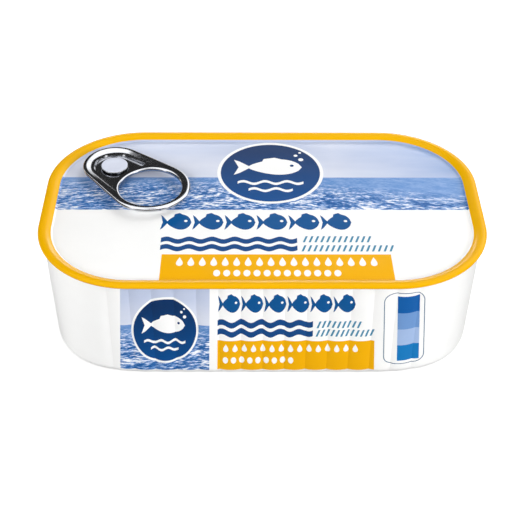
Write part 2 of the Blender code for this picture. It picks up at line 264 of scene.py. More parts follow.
class TinColours(bpy.types.PropertyGroup):
    """Colours of the enamels, inks, metal and studio."""

    white: colour_property("White enamel", "Ground coat of body and lid", "FBFBFA")
    yellow: colour_property("Yellow enamel", "Seam and border of the lid", "EDB100")
    banner: colour_property("Banner yellow", "Printed bands on the lid and the wall", "F1B000")
    sky: colour_property("Sky", "Pale lilac of the printed sky", "D8DDEC")
    sky_blue: colour_property("Clear sky", "Bluer part of the printed sky", "8AA3CF")
    sea_deep: colour_property("Deep sea", "Troughs of the printed waves", "1C589C")
    sea_mid: colour_property("Sea", "Backs of the printed waves", "5A8BC8")
    sea_far: colour_property("Far sea", "Sea towards the horizon", "90ADDB")
    glint: colour_property("Glint", "Light on the printed waves", "FAFBFF")
    navy: colour_property("Navy ink", "Top of the round badge", "0A3160")
    badge_blue: colour_property("Badge blue", "Foot of the round badge", "034C8E")
    blue: colour_property("Blue ink", "Row of fish", "09528F")
    wave_blue: colour_property("Wave blue", "Wave bands", "134783")
    teal: colour_property("Teal ink", "Slanted dashes", "3E86A8")
    gauge_line: colour_property("Frame line", "Line round the blue column", "2F5C82")
    gauge_deep: colour_property("Column top", "First step of the column", "0F5CA6")
    gauge_mid: colour_property("Column middle", "Second step of the column", "6E97CE")
    gauge_pale: colour_property("Column pale", "Third step of the column", "A2BBE2")
    gauge_bright: colour_property("Column foot", "Last step of the column", "1478BC")
    worn: colour_property("Worn foot", "Tinplate where the foot is rubbed", "8E8C86")
    steel: colour_property("Tab steel", "Polished steel of the ring-pull", "C2C4C9")
    floor: colour_property("Floor", "Studio floor", "FFFFFF")


def in_mm(group):
    """The lengths of a property group in millimetres."""
    return SimpleNamespace(**{key: getattr(group, key) / MM for key in group.__annotations__})


def colours_of(context):
    group = context.scene.tin_colours
    return SimpleNamespace(**{key: tuple(getattr(group, key)) for key in group.__annotations__})


# Outlines and surfaces, in millimetres.


def limited(value):
    """A value held between nought and one."""
    return min(max(value, 0.0), 1.0)


def ease(value):
    """A share from nought to one that starts and ends flat."""
    return 0.5 - 0.5 * math.cos(math.pi * limited(value))


def arc(centre, radius, start, sweep, steps):
    """Points along part of a circle."""
    angles = [start + sweep * step / steps for step in range(steps + 1)]
    return [(centre[0] + radius * math.cos(a), centre[1] + radius * math.sin(a)) for a in angles]


def ellipse(x, y, reach_x, reach_y, steps):
    angles = [2.0 * math.pi * step / steps for step in range(steps)]
    return [(x + reach_x * math.cos(a), y + reach_y * math.sin(a)) for a in angles]


def closed(loop):
    return loop + loop[:1]


def raised(loop, height):
    return [(x, y, height) for x, y in loop]


def corner_y(centre, radius, power, x):
    """Where a plan corner lies at x; power 2 is a circle, and a greater one a fuller corner."""
    return centre[1] + radius * (1.0 - ((x - centre[0]) / radius) ** power) ** (1.0 / power)


def corner_arc(centre, radius, power, start_x):
    """Points of one plan corner from its given x round to the end wall."""
    start_y = corner_y(centre, radius, power, start_x)
    start_angle = math.atan2(start_y - centre[1], start_x - centre[0])
    points = []
    for step in range(CORNER_STEPS + 1):
        angle = start_angle * (1.0 - step / CORNER_STEPS)
        across, along = math.cos(angle), math.sin(angle)
        reach = radius / (across ** power + along ** power) ** (1.0 / power)
        points.append((centre[0] + reach * across, centre[1] + reach * along))
    return points


def with_end_wall(corner):
    """A corner's points, and those down the end wall to its middle."""
    x, y = corner[-1]
    return corner + [(x, y * (1.0 - step / END_STEPS)) for step in range(1, END_STEPS + 1)]


def with_mirror(quarter):
    """Points from one long wall's side to the other's, mirrored about the middle of the end wall."""
    return quarter + [(x, -y) for x, y in reversed(quarter[:-1])]


def four_quarters(quarter):
    """Mirror a quarter outline, from the middle of the long wall to the middle of the end wall."""
    half = with_mirror(quarter)
    return half + [(-x, y) for x, y in reversed(half[1:-1])]


def lid_outline(size, inset):
    """Rounded rectangle that runs a given inset inside the tin's outline."""
    half_length = size.length / 2 - inset
    half_width = size.width / 2 - inset
    radius = size.corner_radius - inset
    centre = (half_length - radius, half_width - radius)
    side = [(centre[0] * step / SIDE_STEPS, half_width) for step in range(SIDE_STEPS)]
    return four_quarters(side + with_end_wall(corner_arc(centre, radius, CIRCLE, centre[0])))


def lid_inset(size, x, y):
    """How far a plan point lies inside the tin's outline."""
    beyond_x = abs(x) - (size.length / 2 - size.corner_radius)
    beyond_y = abs(y) - (size.width / 2 - size.corner_radius)
    outside = math.hypot(max(beyond_x, 0.0), max(beyond_y, 0.0))
    return size.corner_radius - outside - min(max(beyond_x, beyond_y), 0.0)


def lid_height(size, inset):
    """Height of the lid's top face from the seam's crest inwards."""
    share = limited((inset - size.crest_inset) / (size.panel_inset - size.crest_inset))
    drop = size.panel_drop * share ** LID_SLOPE_POWER
    from_score = abs(inset - size.panel_inset - size.score_width / 2) / (size.score_width / 2)
    return size.height - drop - size.score_depth * max(0.0, 1.0 - from_score)


def panel_height(size):
    return size.height - size.panel_drop


def seam_profile(size):
    """Inset and height pairs from under the lid, round the seam and up to its crest."""
    inside = size.skirt_inset + size.skirt_thickness
    profile = [
        (size.panel_inset - PANEL_UNDER_STEP, -size.panel_drop - size.panel_thickness),
        (size.wall_top_inset + LID_FLANGE_REACH, -size.seam_thickness),
        (inside, -size.seam_thickness),
        (inside, SHEET_CUT - size.skirt_drop),
        (inside - SHEET_CUT, -size.skirt_drop),
    ]
    for step in range(ROUND_STEPS + 1):
        angle = 0.5 * math.pi * (1.0 - step / ROUND_STEPS)
        inset = size.skirt_inset * (1.0 - math.cos(angle))
        below = (size.skirt_drop - size.widest_drop) * math.sin(angle)
        profile.append((inset, -size.widest_drop - below))
    for step in range(1, ROUND_STEPS + 1):
        angle = 0.5 * math.pi * step / ROUND_STEPS
        inset = size.crest_inset * (1.0 - math.cos(angle))
        profile.append((inset, size.widest_drop * (math.sin(angle) - 1.0)))
    return [(inset, size.height + drop) for inset, drop in profile]


def wall_top(size):
    """Height of the body's flange, a gap under the seam."""
    return size.height - size.seam_thickness - size.gap


def flute_inset(size, x):
    """How far the wall lies inside the flutes' crests at x: nothing on a crest, most at a crease."""
    half_run = FLUTES * size.flute_pitch / 2
    half_pitch = size.flute_pitch / 2
    if abs(x) > half_run:
        from_crease = min(abs(x) - half_run, half_pitch)
    else:
        within = (x + half_run) % size.flute_pitch
        from_crease = min(within, size.flute_pitch - within)
    return size.flute_depth * (1.0 - from_crease / half_pitch) ** 2


def wall_state(size, run):
    """Height, inset, fullness and flute share for a run, which is the height up the wall.

    Below the foot bend's top the run goes on as an arc's length.
    """
    if run < size.bend_radius:
        angle = (size.bend_radius - run) / size.bend_radius
        inset = size.wall_foot_inset + size.bend_radius * (1.0 - math.cos(angle))
        height = size.bend_radius * (1.0 - math.sin(angle))
        # The flutes fade out two thirds of the way round the foot's bend.
        return height, inset, 1.0, max(0.0, math.cos(angle) * 2.0 - 1.0)
    top = wall_top(size)
    fullness = (top - run) / (top - size.bend_radius)
    inset = size.wall_top_inset + fullness * (size.wall_foot_inset - size.wall_top_inset)
    flute_top = size.height - size.flute_top_drop
    return run, inset, fullness, limited((flute_top - run) / size.flute_fade)


def body_corner(size, inset, fullness):
    """Centre, radius and power of a section's corner; fullness 0 has the seam's corner and 1 the foot's."""
    foot_radius = size.foot_corner_radius - max(0.0, inset - size.wall_foot_inset)
    radius = (1.0 - fullness) * (size.corner_radius - inset) + fullness * foot_radius
    centre = (size.length / 2 - inset - radius, size.width / 2 - inset - radius)
    return centre, radius, CIRCLE + fullness * FOOT_EXTRA_POWER


def wall_half_width(size, x, inset, fullness, flute_share):
    """Half the body's width at x, for one section of the wall."""
    centre, radius, power = body_corner(size, inset, fullness)
    y = size.width / 2 - inset
    if abs(x) > centre[0]:
        y = corner_y(centre, radius, power, abs(x))
    return y - flute_share * flute_inset(size, x)


def strip_stations(size):
    """Even stations along a long wall, a whole number of them to each flute."""
    spacing = size.flute_pitch / FLUTE_STATIONS
    count = round(STRIP_END / spacing)
    return [index * spacing for index in range(-count, count + 1)]


def body_end(size, inset, fullness):
    """Points of a section from where the printed strip ends to the middle of the end wall."""
    return with_end_wall(corner_arc(*body_corner(size, inset, fullness), STRIP_END))


def body_loop(size, inset, fullness):
    """Closed outline of one unfluted body section, with the stations of both long walls."""
    stations = [x for x in strip_stations(size) if x >= 0.0]
    side = [(x, wall_half_width(size, x, inset, fullness, 0.0)) for x in stations[:-1]]
    return four_quarters(side + body_end(size, inset, fullness))


def wall_runs(size):
    """Runs of the wall's sections, from the flange down to the end of the foot's bend."""
    bend = size.bend_radius
    flute_top = size.height - size.flute_top_drop
    flute_full = flute_top - size.flute_fade
    runs = [wall_top(size), flute_top, flute_top - size.flute_fade / 2]
    runs += [flute_full + (bend - flute_full) * level / WALL_LEVELS for level in range(WALL_LEVELS + 1)]
    runs += [bend * (1.0 - 0.5 * math.pi * step / ROUND_STEPS) for step in range(1, ROUND_STEPS + 1)]
    return runs


def tab_lie(size):
    """The tab's heading, and the angle from it to where each straight side meets the ring."""
    axis = RING_CENTRE - NOSE_CENTRE
    return math.atan2(axis.y, axis.x), math.acos((size.nose_radius - size.ring_radius) / axis.length)


def towards(angle, reach=1.0):
    return Vector((reach * math.cos(angle), reach * math.sin(angle)))


def hull_loop(size, inset):
    """Belt round the tab's nose and ring, a given inset inside its edge."""
    heading, lean = tab_lie(size)
    nose = arc(NOSE_CENTRE, size.nose_radius - inset, heading + lean, 2.0 * (math.pi - lean), TAB_ARC_STEPS)
    return nose + arc(RING_CENTRE, size.ring_radius - inset, heading - lean, 2.0 * lean, TAB_ARC_STEPS)


def hull_inset(size, x, y):
    """How far a plan point lies inside the tab's edge."""
    axis = RING_CENTRE - NOSE_CENTRE
    run = axis.normalized()
    from_nose = Vector((x, y)) - NOSE_CENTRE
    along = from_nose.dot(run)
    across = abs(from_nose.x * run.y - from_nose.y * run.x)
    lean = (size.nose_radius - size.ring_radius) / axis.length
    side = math.sqrt(1.0 - lean * lean)
    reach = along * side - across * lean
    if reach < 0.0:
        return size.nose_radius - math.hypot(across, along)
    if reach > side * axis.length:
        return size.ring_radius - math.hypot(across, along - axis.length)
    return size.nose_radius - across * side - along * lean


def hole_inset(size, x, y):
    """How far a plan point lies outside the finger hole."""
    return math.hypot(x - HOLE_CENTRE.x, y - HOLE_CENTRE.y) - size.hole_radius


def well_corner(size, inset, side):
    """Centre and radius of one round corner of the well, and its angle beyond the tab's side."""
    heading, lean = tab_lie(size)
    radius = size.well_corner - inset
    reach = size.hole_radius + size.well_ring_border + inset + radius
    cusp = math.acos((size.ring_radius - size.well_border - inset - radius) / reach)
    return RING_CENTRE + towards(heading + side * (lean + cusp), reach), radius, cusp


def well_loop(size, inset):
    """Sunken web round the rivet, cut off round by the ring's own rim, a given inset inside its edge."""
    heading, lean = tab_lie(size)
    left, corner, cusp = well_corner(size, inset, 1.0)
    right = well_corner(size, inset, -1.0)[0]
    turn = math.pi - cusp
    loop = arc(NOSE_CENTRE, size.nose_radius - size.well_border - inset, heading + lean,
               2.0 * (math.pi - lean), TAB_ARC_STEPS)
    loop += arc(right, corner, heading - lean, turn, WELL_CORNER_STEPS)
    loop += arc(RING_CENTRE, size.hole_radius + size.well_ring_border + inset, heading - lean - cusp,
                2.0 * (lean - turn), TAB_ARC_STEPS)[1:-1]
    loop += arc(left, corner, heading + lean - turn, turn, WELL_CORNER_STEPS)
    return loop


def well_inset(size, x, y):
    """How far a plan point lies inside the well's edge."""
    heading, lean = tab_lie(size)
    for side in (1.0, -1.0):
        centre, radius, cusp = well_corner(size, 0.0, side)
        away = Vector((x, y)) - centre
        outwards = towards(heading + side * (lean - (math.pi - cusp) / 2))
        if away.dot(outwards) > away.length * math.cos((math.pi - cusp) / 2):
            return radius - away.length
    from_ring = math.hypot(x - RING_CENTRE.x, y - RING_CENTRE.y)
    from_hole_rim = from_ring - size.hole_radius - size.well_ring_border
    return min(hull_inset(size, x, y) - size.well_border, from_hole_rim)


def round_over(inset, width, depth):
    """Drop of an edge that rounds over a given width, at an inset inside it."""
    short = max(1.0 - inset / width, 0.0)
    return depth * (1.0 - math.sqrt(max(1.0 - short * short, 0.0)))


def tab_floor(size):
    """Height of the tab's lowest face, a gap above the panel."""
    return panel_height(size) + size.gap


def tab_top(size, x, y):
    """Height of the tab's top face: rolled edges, the nose's rim that slopes inwards, and the well."""
    edge = hull_inset(size, x, y)
    axis = RING_CENTRE - NOSE_CENTRE
    ringward = (Vector((x, y)) - NOSE_CENTRE).dot(axis) / axis.length_squared
    roll = size.tab_rounding + (RING_ROLL - size.tab_rounding) * ease(ringward)
    drop = max(round_over(edge, roll, ROLL_DEPTH), round_over(hole_inset(size, x, y), HOLE_ROLL, ROLL_DEPTH))
    # The rim's inward slope fades out over the second and third fifths of the way to the ring's centre.
    drop += RIM_CROWN * limited((edge - RIM_CREST) / CROWN_WIDTH) * (1.0 - ease((ringward - 0.2) / 0.4))
    top = tab_floor(size) + size.tab_height
    web = tab_floor(size) + size.web_thickness
    share = limited(well_inset(size, x, y) / WELL_SLOPE)
    return (top - drop) * (1.0 - share) + web * share


def tab_bottom(size, x, y):
    """Height of the tab's underside: the rolled rim's, and the pan's that reaches lower."""
    rise = max(round_over(hull_inset(size, x, y), size.tab_rounding, size.tab_rounding),
               round_over(hole_inset(size, x, y), size.hole_rounding, size.hole_rounding))
    share = ease((well_inset(size, x, y) + size.pan_wall + PAN_SLOPE) / PAN_SLOPE)
    return tab_floor(size) + rise + size.tab_lift * (1.0 - share)


# Printed shapes: each is an ink's name and a closed outline in millimetres.


def box(left, low, right, high):
    return [(left, low), (right, low), (right, high), (left, high)]


def rounded_box(left, low, right, high, radius):
    points = []
    for x, y, turn in ((right - radius, high - radius, 0.0), (left + radius, high - radius, 0.5),
                       (left + radius, low + radius, 1.0), (right - radius, low + radius, 1.5)):
        points += arc((x, y), radius, math.pi * turn, 0.5 * math.pi, FRAME_STEPS)
    return points


def fish_outline(x, y, length, height):
    """A plain fish in side view, nose to the right: a plump body, a back fin and a forked tail."""
    upper = []
    for step in range(FISH_STEPS + 1):
        share = step / FISH_STEPS
        along = 0.5 - 0.78 * share
        thick = 0.5 * math.sin(math.pi * share ** 0.8) ** 0.75 * (1.0 - 0.15 * share) + 0.07 * share
        upper.append((along, thick))
    fin = [(0.10, 0.60), (-0.06, 0.52)]
    back = [pair for pair in upper if pair[0] > 0.16] + fin + [pair for pair in upper if pair[0] < -0.08]
    tail = [(-0.42, 0.36), (-0.5, 0.46), (-0.43, 0.0), (-0.5, -0.46), (-0.42, -0.36)]
    lower = [(along, -0.92 * thick) for along, thick in reversed(upper[1:])]
    return [(x + length * along, y + height * 0.84 * thick) for along, thick in back + tail + lower]


def wave_band(left, right, y, swing, pitch, thickness):
    """A band whose two edges swing as a wave."""
    count = max(12, round((right - left) / WAVE_STEP))
    points = []
    for step in range(count + 1):
        x = left + (right - left) * step / count
        points.append((x, y + swing * math.sin(2.0 * math.pi * (x - left) / pitch)))
    return ([(px, py - thickness / 2) for px, py in points]
            + [(px, py + thickness / 2) for px, py in reversed(points)])


def drop_outline(x, y, width, height):
    """A plain drop of oil: round below and pointed above."""
    points = []
    for step in range(DROP_STEPS):
        angle = 2.0 * math.pi * step / DROP_STEPS
        pull = math.sin(angle / 2.0) ** 1.5
        points.append((x - 0.62 * width * math.sin(angle) * pull, y + 0.5 * height * math.cos(angle)))
    return points


def slanted_dash(x, y, width, height):
    lean = 0.16 * height
    half = width / 4
    return [(x - half - lean, y - height / 2), (x + half - lean, y - height / 2),
            (x + half + lean, y + height / 2), (x - half + lean, y + height / 2)]


def small_oval(x, y, width, height):
    return ellipse(x, y, width / 2, height / 2, OVAL_STEPS)


def row(make, ink, left, right, y, count, width, height):
    """A row of one shape, spread evenly from left to right."""
    step = (right - left - width) / (count - 1)
    return [(ink, make(left + width / 2 + index * step, y, width, height)) for index in range(count)]


def fish_row(first, pitch, y, length, height, eye):
    """Six plain fish in a row, each with an eye at a place from its middle."""
    shapes = []
    for index in range(6):
        middle = first + pitch * index
        shapes.append(("blue", fish_outline(middle, y, length, height)))
        shapes.append(("white", ellipse(middle + eye[0], y + eye[1], eye[2], eye[3], EYE_STEPS)))
    return shapes


def wave_pair(left, right, levels, pitch, thickness):
    """Two wave bands, one above the other."""
    return [("wave_blue", wave_band(left, right, y, WAVE_SWING, pitch, thickness)) for y in levels]


def badge(x, y, reach_x, reach_y):
    """Round white-edged badge with a fish, its bubbles and two waves."""
    unit_x, unit_y = reach_x / BADGE_REACH, reach_y / BADGE_REACH

    def spot(ink, across, up, reach, steps):
        place = (x + across * unit_x, y + up * unit_y)
        return ink, ellipse(*place, reach * unit_x, reach * unit_y, steps)

    shapes = [
        spot("white", 0.0, 0.0, BADGE_REACH, BADGE_STEPS),
        spot("navy", 0.0, 0.0, BADGE_REACH - BADGE_EDGE, BADGE_STEPS),
        ("white", fish_outline(x - 0.6 * unit_x, y + 2.2 * unit_y, 17.0 * unit_x, 8.4 * unit_y)),
        spot("navy", 5.4, 2.9, 0.5, BADGE_EYE_STEPS),
    ]
    for reach, down in ((8.1, 4.4), (5.4, 7.4)):
        shapes.append(("white", wave_band(x - reach * unit_x, x + reach * unit_x, y - down * unit_y,
                                          0.55 * unit_y, 5.4 * unit_x, 1.0 * unit_y)))
    for bubble in ((7.74, 5.58, 0.65), (6.48, 7.38, 0.5), (7.56, 8.64, 0.35)):
        shapes.append(spot("white", *bubble, OVAL_STEPS))
    return shapes


def band_within(loop, low, high):
    """The part of a closed outline between two levels."""
    for level, keep_above in ((low, True), (high, False)):
        kept = []
        for (ax, ay), (bx, by) in zip(loop, loop[1:] + loop[:1]):
            a_in = (ay >= level) == keep_above
            b_in = (by >= level) == keep_above
            if a_in:
                kept.append((ax, ay))
            if a_in != b_in:
                share = (level - ay) / (by - ay)
                kept.append((ax + share * (bx - ax), level))
        loop = kept
    return loop


def artwork(badge_place, fish, waves, dash_rows, banner, drops, ovals):
    """What both printed faces show over their sky and sea, from the badge to the yellow band's ovals."""
    shapes = badge(*badge_place) + fish_row(*fish) + wave_pair(*waves)
    for dashes in dash_rows:
        shapes += row(slanted_dash, "teal", *dashes)
    shapes.append(("banner", banner))
    return shapes + row(drop_outline, "white", *drops) + row(small_oval, "white", *ovals)


def lid_print(size):
    """The lid's print, from the ground coat up, in x and y from the tin's middle."""
    field = lid_outline(size, size.yellow_edge)
    banner = [(-23.1, -18.75), (-23.25, -31.0), (29.6, -31.0), (29.3, -18.75)]
    shapes = [
        ("white", field),
        ("sky", band_within(field, LID_HORIZON, size.width)),
        ("sea", band_within(field, LID_SHORE, LID_HORIZON)),
    ]
    return shapes + artwork(
        badge_place=(2.1, 14.05, 13.2, 13.2),
        fish=(-20.4, 7.55, -6.65, 7.3, 7.4, (2.3, 0.55, 0.42, 0.42)),
        waves=(-23.6, 8.0, (-13.5, -16.3), 5.27, 1.75),
        dash_rows=((9.4, 25.2, -13.1, 12, 1.0, 2.3), (9.0, 30.2, -16.5, 16, 1.0, 2.3)),
        banner=band_within(banner, size.yellow_edge - size.width / 2, 0.0),
        drops=(-19.8, 26.1, -21.35, 18, 1.75, 3.2),
        ovals=(-11.2, 17.6, -25.5, 13, 1.6, 2.3),
    )


def wall_print():
    """The long walls' print, from the ground coat up, in x and height up the wall."""
    shapes = [
        ("sky", box(-31.8, WALL_HORIZON, -11.9, PRINT_TOP)),
        ("sea", box(-31.8, PRINT_FOOT, -11.9, WALL_HORIZON)),
    ]
    shapes += artwork(
        badge_place=(-21.85, 14.7, 7.5, 10.4),
        fish=(-7.55, 5.15, 22.8, 4.95, 6.4, (1.55, 0.5, 0.28, 0.36)),
        waves=(-10.1, 11.2, (16.8, 13.9), 4.26, 1.8),
        dash_rows=((12.1, 22.0, 16.6, 9, 0.9, 2.1), (11.9, 24.9, 13.9, 12, 0.9, 2.1)),
        banner=box(-10.1, PRINT_FOOT, 25.0, 11.4),
        drops=(-8.9, 21.4, 9.1, 15, 1.35, 2.5),
        ovals=(-8.9, 6.9, 5.1, 9, 1.2, 2.1),
    )
    shapes += gauge(27.0, 3.6, 36.3, 26.2)
    return [(ink, [(x * (1.0 + PRINT_SPREAD * (PRINT_LEVEL - run)), run) for x, run in loop])
            for ink, loop in shapes]


def gauge(left, low, right, high):
    """Thin rounded frame with a column of four blue steps."""
    shapes = [
        ("gauge_line", rounded_box(left, low, right, high, 2.6)),
        ("white", rounded_box(left + 0.2, low + 0.22, right - 0.2, high - 0.22, 2.4)),
    ]
    margin = 1.1
    tall = (high - low - 2 * margin) / len(GAUGE_STEPS)
    for index, ink in enumerate(GAUGE_STEPS):
        top = high - margin - index * tall
        shapes.append((ink, box(left + 3.1, top - tall, right - 1.2, top)))
    return shapes


# Meshes. Points are given in millimetres and stored in metres.


def add_rows(builder, rows, material=0):
    """Join loops of points, each with the same count, into a skin of quads."""
    grid = [[builder.verts.new(Vector(point) * MM) for point in loop] for loop in rows]
    for lower, upper in zip(grid, grid[1:]):
        count = len(lower)
        for index in range(count):
            after = (index + 1) % count
            face = builder.faces.new((lower[index], lower[after], upper[after], upper[index]))
            face.material_index = material
    return grid


def fill_sheet(builder, outline, guides, shapes, place, inks, ground, cuts=()):
    """Fill an outline with triangles that follow guide lines and printed shapes, and lift them into place."""
    points, edges, faces = [], [], []
    loops = [outline] + list(cuts) + [loop for _, loop in shapes]
    for loop in loops:
        area = sum(ax * by - bx * ay for (ax, ay), (bx, by) in zip(loop, loop[1:] + loop[:1]))
        start = len(points)
        points += [Vector(point) for point in (loop if area > 0.0 else reversed(loop))]
        faces.append(list(range(start, len(points))))
    for line in guides:
        start = len(points)
        points += [Vector(point) for point in line]
        edges += [(index, index + 1) for index in range(start, len(points) - 1)]
    flat, _, triangles, _, _, sources = delaunay_2d_cdt(points, edges, faces, 1, SHEET_MERGE)
    verts = [builder.verts.new(Vector(place(point.x, point.y)) * MM) for point in flat]
    first_shape = 1 + len(cuts)
    for triangle, source in zip(triangles, sources):
        if 0 not in source or any(0 < index < first_shape for index in source):
            continue
        top = max(source)
        face = builder.faces.new([verts[index] for index in triangle])
        face.material_index = inks[shapes[top - first_shape][0]] if top >= first_shape else ground
    loose = [vert for vert in verts if not vert.link_faces]
    bmesh.ops.delete(builder, geom=loose, context='VERTS')


def add_object(name, data):
    added = bpy.data.objects.new(name, data)
    bpy.context.scene.collection.objects.link(added)
    return added


def make_piece(name, builder, materials, slot, *nodes):
    """Turn a mesh builder into a piece that rides on the tin, with smooth round faces and sharp edges."""
    bmesh.ops.remove_doubles(builder, verts=builder.verts, dist=MERGE_DISTANCE)
    bmesh.ops.recalc_face_normals(builder, faces=builder.faces)
    mesh = bpy.data.meshes.new(name)
    builder.to_mesh(mesh)
    builder.free()
    for material in materials:
        mesh.materials.append(material)
    mesh.shade_smooth()
    mesh.set_sharp_from_angle(angle=SHARP_ANGLE)
    piece = add_object(name, mesh)
    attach(piece, "root")
    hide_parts(*nodes)


# Materials.


def add_node(tree, kind, inputs=None, stops=None, **settings):
    """Add a node, set its properties and colour stops, and set or link its inputs."""
    node = tree.nodes.new(kind)
    for name, value in settings.items():
        setattr(node, name, value)
    if stops:
        elements = node.color_ramp.elements
        while len(elements) < len(stops):
            elements.new(1.0)
        for element, (position, colour) in zip(elements, stops):
            element.position = position
            element.color = (*colour, 1.0)
    for name, value in (inputs or {}).items():
        if isinstance(value, bpy.types.NodeSocket):
            tree.links.new(value, node.inputs[name])
        else:
            node.inputs[name].default_value = value
    return node


def calculate(tree, operation, *values):
    return add_node(tree, 'ShaderNodeMath', dict(enumerate(values)), operation=operation).outputs[0]


def stretch(tree, place, factors):
    return add_node(tree, 'ShaderNodeVectorMath', {0: place, 1: factors}, operation='MULTIPLY').outputs[0]


def map_range(tree, value, low, high, low_gives=0.0, high_gives=1.0):
    """A value spread from one range to another and held within it."""
    return add_node(tree, 'ShaderNodeMapRange', {
        "Value": value, "From Min": low, "From Max": high, "To Min": low_gives, "To Max": high_gives,
    }).outputs[0]


def noise(tree, place, scale, detail, roughness=0.5, distortion=0.0):
    return add_node(tree, 'ShaderNodeTexNoise', {
        "Vector": place, "Scale": scale, "Detail": detail, "Roughness": roughness, "Distortion": distortion,
    }).outputs["Fac"]


def ramp(tree, value, *stops):
    return add_node(tree, 'ShaderNodeValToRGB', {0: value}, stops=stops).outputs[0]


def blend(tree, share, first, second):
    return add_node(tree, 'ShaderNodeMix', {0: share, 6: first, 7: second}, data_type='RGBA').outputs[2]


def camera_sees(tree, shown, felt):
    """A shader that shows the camera one thing, and reflections and light another."""
    for_camera = add_node(tree, 'ShaderNodeLightPath').outputs["Is Camera Ray"]
    return add_node(tree, 'ShaderNodeMixShader', {0: for_camera, 1: felt, 2: shown}).outputs[0]


def place_nodes(tree, up_axis):
    """The place on the tin in millimetres: the vector, and across and up on the printed face."""
    where = add_node(tree, 'ShaderNodeTexCoord').outputs["Object"]
    scaled = stretch(tree, where, (1000.0,) * 3)
    parts = add_node(tree, 'ShaderNodeSeparateXYZ', {0: scaled})
    return scaled, parts.outputs["X"], parts.outputs[up_axis]


def new_surface(name, metallic):
    """A new material with its node tree, its shader and the place on the tin."""
    material = bpy.data.materials.new(name)
    material.use_nodes = True
    tree = material.node_tree
    shader = tree.nodes["Principled BSDF"]
    shader.inputs["Metallic"].default_value = metallic
    return material, tree, shader, place_nodes(tree, "Y")[0]


def add_bump(tree, shader, height, strength, distance):
    inputs = {"Height": height, "Strength": strength, "Distance": distance}
    tree.links.new(add_node(tree, 'ShaderNodeBump', inputs).outputs[0], shader.inputs["Normal"])


def enamel(name, paint, roughness, gloss):
    """Litho enamel: coats of coloured resin rolled and baked on tinplate.

    It gives a smooth, clear gloss over a solid colour, with a faint orange peel and ink that lies
    a little uneven.
    """
    material, tree, shader, where = new_surface(name, 0.0)
    shader.inputs["IOR"].default_value = 1.5
    shader.inputs["Specular IOR Level"].default_value = gloss
    # Ink lies uneven over patches of about 6 mm, a hundredth lighter or darker.
    shade = map_range(tree, noise(tree, where, 0.16, 3.0), 0.3, 0.7, 0.99, 1.01)
    tinted = add_node(tree, 'ShaderNodeVectorMath', {0: paint(tree), "Scale": shade}, operation='SCALE')
    tree.links.new(tinted.outputs[0], shader.inputs["Base Color"])
    # Rubbing from packing dulls the gloss in streaks about 2 mm apart.
    streaks = noise(tree, stretch(tree, where, (0.12, 0.5, 0.5)), 1.0, 1.0)
    dulled = map_range(tree, streaks, 0.35, 0.75, roughness - 0.01, roughness + 0.02)
    tree.links.new(dulled, shader.inputs["Roughness"])
    # Orange peel of the baked coat, drawn at 1.2 mm, coarser than the real 0.5 mm, so that it shows.
    add_bump(tree, shader, noise(tree, where, 0.8, 1.0), 0.02, 0.00001)
    return material


def plain_ink(colour):
    """Paint of one even ink."""
    def paint(tree):
        socket = add_node(tree, 'ShaderNodeRGB').outputs[0]
        socket.default_value = (*colour, 1.0)
        return socket
    return paint


def foot_worn(white, bare):
    """White ground coat that the shelf has rubbed off the foot's edge in spots."""
    def paint(tree):
        where, _, height = place_nodes(tree, "Z")
        # Spots about 1 mm across.
        spots = noise(tree, where, 0.9, 4.0)
        low = map_range(tree, height, 0.02, 0.25, 1.0, 0.0)
        mask = map_range(tree, calculate(tree, 'MULTIPLY', spots, low), 0.56, 0.64)
        return blend(tree, mask, (*white, 1.0), (*bare, 1.0))
    return paint


def badge_ink(navy, blue, up_axis, low, high):
    """Navy that turns bluer towards the badge's foot."""
    def paint(tree):
        share = map_range(tree, place_nodes(tree, up_axis)[2], low, high)
        return ramp(tree, share, (0.0, blue), (0.85, navy))
    return paint


def sky_ink(pale, clear, up_axis, horizon, top):
    """Hazy sky: lilac with soft level streaks, lighter over the horizon and bluer to the right."""
    def paint(tree):
        where, across, up = place_nodes(tree, up_axis)
        # Streaks of haze about 30 mm long and 6 mm apart.
        streaks = noise(tree, stretch(tree, where, (0.035, 0.16, 0.16)), 1.0, 3.0, distortion=0.3)
        rightward = map_range(tree, across, 18.0, 50.0, 0.33, 0.7)
        upward = map_range(tree, up, horizon, top, -0.2, 0.15)
        hazy = calculate(tree, 'MULTIPLY_ADD', streaks, rightward, upward)
        total = calculate(tree, 'ADD', hazy, rightward)
        light = tuple(min(1.0, channel * 1.12 + 0.02) for channel in pale)
        return ramp(tree, total, (0.0, light), (0.3, pale), (1.0, clear))
    return paint


